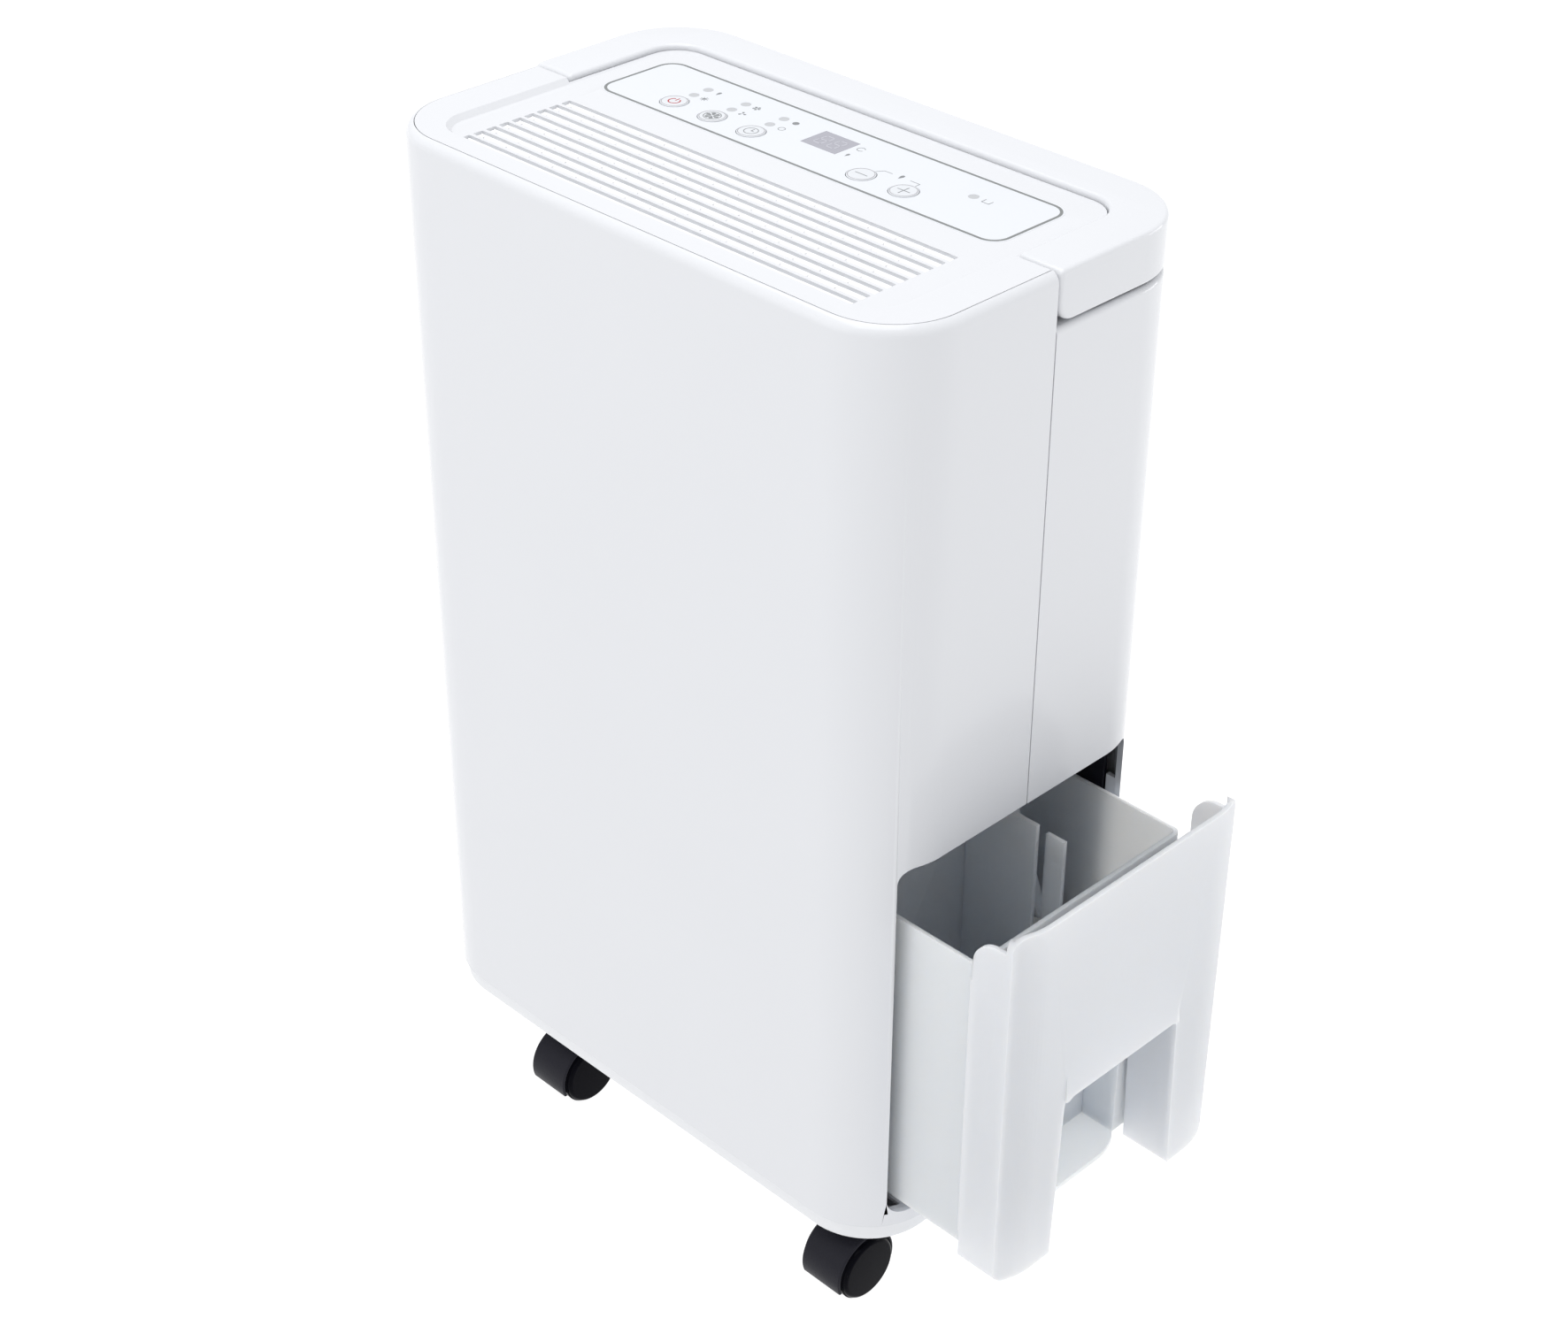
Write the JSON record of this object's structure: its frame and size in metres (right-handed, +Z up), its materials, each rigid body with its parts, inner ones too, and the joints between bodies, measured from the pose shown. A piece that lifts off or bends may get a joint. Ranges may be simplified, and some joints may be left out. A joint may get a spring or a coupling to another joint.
{
  "type": "dehumidifier",
  "caption": "Free-standing compressor dehumidifier on swivel casters, with a top outlet grille and panel, folding handle and a water tank that draws out of one end.",
  "frame": {"origin": "centre of the whole part's box, on the floor, with the tank partly drawn out as it stands at rest", "axes": "+X from the far end towards the end the water tank draws out of; -Y out of the wide front face, +Y out of the rear intake; +Z up"},
  "size_m": [0.3502, 0.1864, 0.47],
  "materials": {
    "shell_white": "smooth moulded cool-white ABS with a soft gloss",
    "base_white": "moulded white plastic, satin",
    "film": "printed pale blue-white membrane with a grey border",
    "button_white": "white moulded key with a printed icon",
    "lens_grey": "translucent grey light guide",
    "smoked_window": "smoked display window",
    "black_plastic": "fine textured black plastic",
    "wheel_black": "glossy black nylon wheel",
    "tank_clear": "milky translucent blue-white polypropylene",
    "tank_cover": "slightly translucent white polypropylene",
    "foam": "closed-cell white foam",
    "steel": "zinc-plated steel",
    "compressor_paint": "black enamelled steel",
    "copper": "bare copper pipe",
    "fins": "bright aluminium fins",
    "rubber": "black rubber",
    "fan_plastic": "white glass-filled plastic",
    "electronics": "ivory flame-retardant box",
    "circuit_board": "green solder-masked board",
    "filter_cloth": "fine dark grey nylon net",
    "drain_nozzle": "moulded white plastic, satin"
  },
  "bodies": {
    "casing": {"front_shell": "shell_white", "rear_shell": "shell_white", "top_cover": "shell_white", "outlet_grid": "shell_white", "base_pan": "base_white", "control_membrane": "film", "led_lenses": "lens_grey", "display_window": "smoked_window", "display_module": "black_plastic", "control_board": "circuit_board", "tact_switches": "black_plastic", "tank_bay": "black_plastic", "level_switch": "black_plastic", "scroll_housing": "shell_white", "fan_motor": "compressor_paint", "motor_bracket": "steel", "bulkhead": "steel", "evaporator": "fins", "condenser": "fins", "drip_tray": "base_white", "compressor": "compressor_paint", "compressor_base": "steel", "compressor_mounts": "rubber", "compressor_bolts": "steel", "accumulator": "copper", "refrigerant_pipes": "copper", "electronics_box": "electronics", "drain_spout": "drain_nozzle", "cord_inlet": "black_plastic", "casing_screws": "steel", "caster_stems": "steel"},
    "handle": {"handle": "shell_white", "handle_pins": "steel"},
    "power_button": {"power_button": "button_white"},
    "fan_button": {"fan_button": "button_white"},
    "timer_button": {"timer_button": "button_white"},
    "minus_button": {"minus_button": "button_white"},
    "plus_button": {"plus_button": "button_white"},
    "tank": {"tank_body": "tank_clear", "tank_front": "tank_cover", "float_pin": "steel"},
    "float": {"float_arm": "tank_clear", "float_block": "foam"},
    "fan": {"impeller": "fan_plastic", "fan_shaft": "steel"},
    "filter": {"filter_frame": "shell_white", "filter_mesh": "filter_cloth"},
    "drain_plug": {"drain_plug": "black_plastic"},
    "swivel_front_left": {"caster_hood_front_left": "black_plastic", "caster_axle_front_left": "steel"},
    "wheels_front_left": {"caster_wheels_front_left": "wheel_black"},
    "swivel_front_right": {"caster_hood_front_right": "black_plastic", "caster_axle_front_right": "steel"},
    "wheels_front_right": {"caster_wheels_front_right": "wheel_black"},
    "swivel_rear_left": {"caster_hood_rear_left": "black_plastic", "caster_axle_rear_left": "steel"},
    "wheels_rear_left": {"caster_wheels_rear_left": "wheel_black"},
    "swivel_rear_right": {"caster_hood_rear_right": "black_plastic", "caster_axle_rear_right": "steel"},
    "wheels_rear_right": {"caster_wheels_rear_right": "wheel_black"}
  },
  "joints": [
    {"name": "tank_slide", "type": "slide", "parent": "casing", "child": "tank", "axis": [1, 0, 0], "range_m": [-0.059, 0.062]},
    {"name": "handle_hinge", "type": "hinge", "parent": "casing", "child": "handle", "pos_m": [-0.0301, 0.00745, 0.4635], "axis": [1, 0, 0], "range_deg": [0, 90]},
    {"name": "float_hinge", "type": "hinge", "parent": "tank", "child": "float", "pos_m": [0.0689, 0.03745, 0.193], "axis": [0, -1, 0], "range_deg": [0, 15]},
    {"name": "fan_spin", "type": "hinge", "parent": "casing", "child": "fan", "pos_m": [-0.0301, -0.04955, 0.339], "axis": [0, 1, 0], "continuous": true},
    {"name": "filter_slide", "type": "slide", "parent": "casing", "child": "filter", "axis": [0, 1, 0], "range_m": [0, 0.03]},
    {"name": "drain_plug_slide", "type": "slide", "parent": "casing", "child": "drain_plug", "axis": [0, 1, 0], "range_m": [0, 0.015]},
    {"name": "power_button_press", "type": "slide", "parent": "casing", "child": "power_button", "axis": [0, 0, 1], "range_m": [-0.0004, 0], "stiffness_N_per_m": 1000},
    {"name": "fan_button_press", "type": "slide", "parent": "casing", "child": "fan_button", "axis": [0, 0, 1], "range_m": [-0.0004, 0], "stiffness_N_per_m": 1000},
    {"name": "timer_button_press", "type": "slide", "parent": "casing", "child": "timer_button", "axis": [0, 0, 1], "range_m": [-0.0004, 0], "stiffness_N_per_m": 1000},
    {"name": "minus_button_press", "type": "slide", "parent": "casing", "child": "minus_button", "axis": [0, 0, 1], "range_m": [-0.0004, 0], "stiffness_N_per_m": 1000},
    {"name": "plus_button_press", "type": "slide", "parent": "casing", "child": "plus_button", "axis": [0, 0, 1], "range_m": [-0.0004, 0], "stiffness_N_per_m": 1000},
    {"name": "caster_swivel_front_left", "type": "hinge", "parent": "casing", "child": "swivel_front_left", "pos_m": [-0.0924, -0.06805, 0.032], "axis": [0, 0, 1], "continuous": true},
    {"name": "caster_roll_front_left", "type": "hinge", "parent": "swivel_front_left", "child": "wheels_front_left", "pos_m": [-0.0924, -0.07605, 0.0155], "axis": [1, 0, 0], "continuous": true},
    {"name": "caster_swivel_front_right", "type": "hinge", "parent": "casing", "child": "swivel_front_right", "pos_m": [0.0874, -0.06805, 0.032], "axis": [0, 0, 1], "continuous": true},
    {"name": "caster_roll_front_right", "type": "hinge", "parent": "swivel_front_right", "child": "wheels_front_right", "pos_m": [0.0874, -0.07605, 0.0155], "axis": [1, 0, 0], "continuous": true},
    {"name": "caster_swivel_rear_left", "type": "hinge", "parent": "casing", "child": "swivel_rear_left", "pos_m": [-0.0924, 0.05495, 0.032], "axis": [0, 0, 1], "continuous": true},
    {"name": "caster_roll_rear_left", "type": "hinge", "parent": "swivel_rear_left", "child": "wheels_rear_left", "pos_m": [-0.0924, 0.04695, 0.0155], "axis": [1, 0, 0], "continuous": true},
    {"name": "caster_swivel_rear_right", "type": "hinge", "parent": "casing", "child": "swivel_rear_right", "pos_m": [0.0874, 0.05495, 0.032], "axis": [0, 0, 1], "continuous": true},
    {"name": "caster_roll_rear_right", "type": "hinge", "parent": "swivel_rear_right", "child": "wheels_rear_right", "pos_m": [0.0874, 0.04695, 0.0155], "axis": [1, 0, 0], "continuous": true}
  ]
}
